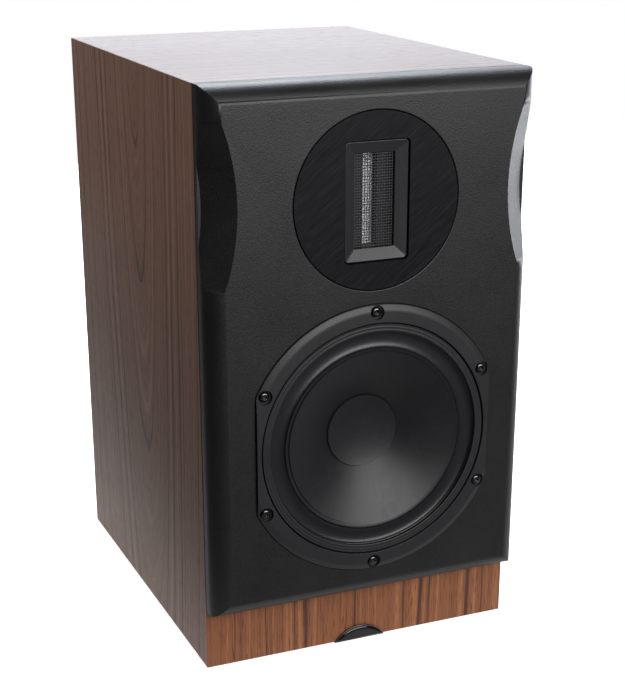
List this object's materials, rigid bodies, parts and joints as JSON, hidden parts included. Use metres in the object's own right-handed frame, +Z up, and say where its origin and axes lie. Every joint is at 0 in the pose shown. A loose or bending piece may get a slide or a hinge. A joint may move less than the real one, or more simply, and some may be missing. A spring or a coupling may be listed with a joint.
{
  "type": "bookshelf speaker",
  "caption": "Two-way bookshelf speaker: ribbon tweeter over a cone woofer in a black scalloped baffle, walnut cabinet, rear port and binding posts.",
  "frame": {"origin": "centre of the underside of the bounding box, level with the surface the cabinet stands on", "axes": "+Z up; the front with the drivers faces -Y and the binding posts +Y; +X is to the right seen from the front"},
  "size_m": [0.22, 0.3014, 0.38],
  "materials": {
    "side_veneer": "satin walnut veneer, grain upright",
    "top_veneer": "satin walnut veneer, grain across",
    "plinth_veneer": "satin walnut veneer, grain upright, warmer",
    "back_paint": "matt black paint on fibreboard",
    "mdf": "raw fibreboard",
    "felt": "grey polyester felt",
    "baffle_paint": "fine speckled satin black",
    "badge_gloss": "gloss black, blank",
    "frame_black": "satin black casting",
    "trim_black": "matt black, fine ridges",
    "rubber": "smooth black rubber",
    "cone": "smooth satin black",
    "foil": "bright foil",
    "copper": "enamelled copper",
    "spider_cloth": "resin-dipped cloth",
    "steel": "zinc-plated steel",
    "ferrite": "bare ferrite",
    "brushed_black": "black anodised, hairline brushed",
    "mouth_black": "satin black moulding",
    "mesh_black": "black woven wire",
    "magnet_steel": "nickel-plated magnet",
    "moulded_black": "fine-textured black moulding",
    "board": "green circuit board",
    "capacitor_sleeve": "dark red film sleeve",
    "ceramic": "off-white ceramic",
    "brass": "gold-coloured plating",
    "knob_red": "clear red moulding",
    "knob_black": "black moulding",
    "screw_black": "black oxide",
    "wire_sleeve": "red and black sleeved pair"
  },
  "bodies": {
    "cabinet": {"left_side_panel": "side_veneer", "right_side_panel": "side_veneer", "top_panel": "top_veneer", "bottom_panel": "top_veneer", "front_panel": "plinth_veneer", "back_panel": "back_paint", "window_brace": "mdf", "acoustic_lining": "felt", "front_baffle": "baffle_paint", "badge": "badge_gloss", "woofer_basket": "frame_black", "woofer_trim_ring": "trim_black", "woofer_surround": "rubber", "woofer_spider": "spider_cloth", "woofer_top_plate": "steel", "woofer_magnet": "ferrite", "woofer_yoke": "steel", "woofer_screw_1": "screw_black", "woofer_screw_2": "screw_black", "woofer_screw_3": "screw_black", "woofer_screw_4": "screw_black", "woofer_screw_5": "screw_black", "woofer_screw_6": "screw_black", "tweeter_plate": "brushed_black", "tweeter_mouth": "mouth_black", "tweeter_mesh": "mesh_black", "ribbon_clamp_upper": "copper", "ribbon_clamp_lower": "copper", "ribbon_magnet_left": "magnet_steel", "ribbon_magnet_right": "magnet_steel", "ribbon_yoke": "steel", "tweeter_housing": "moulded_black", "ribbon_transformer": "copper", "tweeter_ring_nut": "moulded_black", "crossover_board": "board", "woofer_inductor": "copper", "tweeter_inductor": "copper", "woofer_capacitor": "capacitor_sleeve", "tweeter_capacitor": "capacitor_sleeve", "crossover_resistor": "ceramic", "terminal_cup": "moulded_black", "terminal_screw_1": "screw_black", "terminal_screw_2": "screw_black", "terminal_screw_3": "screw_black", "terminal_screw_4": "screw_black", "red_post_stud": "brass", "black_post_stud": "brass", "port_tube": "moulded_black", "woofer_wire": "wire_sleeve", "tweeter_wire": "wire_sleeve"},
    "woofer_piston": {"woofer_cone": "cone", "woofer_dust_cap": "cone", "voice_coil_former": "foil", "voice_coil": "copper"},
    "ribbon": {"ribbon_foil": "foil"},
    "red_washer": {"red_post_washer": "brass"},
    "red_knob": {"red_post_knob": "knob_red"},
    "black_washer": {"black_post_washer": "brass"},
    "black_knob": {"black_post_knob": "knob_black"}
  },
  "joints": [
    {"name": "cone_travel", "type": "slide", "parent": "cabinet", "child": "woofer_piston", "axis": [0, -1, 0], "range_m": [-0.006, 0.006], "stiffness_N_per_m": 1200, "deforming": ["woofer_surround", "woofer_spider"]},
    {"name": "ribbon_travel", "type": "slide", "parent": "cabinet", "child": "ribbon", "axis": [0, -1, 0], "range_m": [-0.0003, 0.0003], "stiffness_N_per_m": 60},
    {"name": "red_washer_slide", "type": "slide", "parent": "cabinet", "child": "red_washer", "axis": [0, 1, 0], "range_m": [0, 0.004]},
    {"name": "red_knob_turn", "type": "hinge", "parent": "red_washer", "child": "red_knob", "pos_m": [-0.019, 0.13975, 0.08], "axis": [0, 1, 0], "range_deg": [0, 1440]},
    {"name": "black_washer_slide", "type": "slide", "parent": "cabinet", "child": "black_washer", "axis": [0, 1, 0], "range_m": [0, 0.004]},
    {"name": "black_knob_turn", "type": "hinge", "parent": "black_washer", "child": "black_knob", "pos_m": [0.019, 0.13975, 0.08], "axis": [0, 1, 0], "range_deg": [0, 1440]}
  ],
  "couplings": [
    {"joint": "red_knob_turn", "follows": "red_washer_slide", "rad_per_m": 6283.2},
    {"joint": "black_knob_turn", "follows": "black_washer_slide", "rad_per_m": 6283.2}
  ]
}
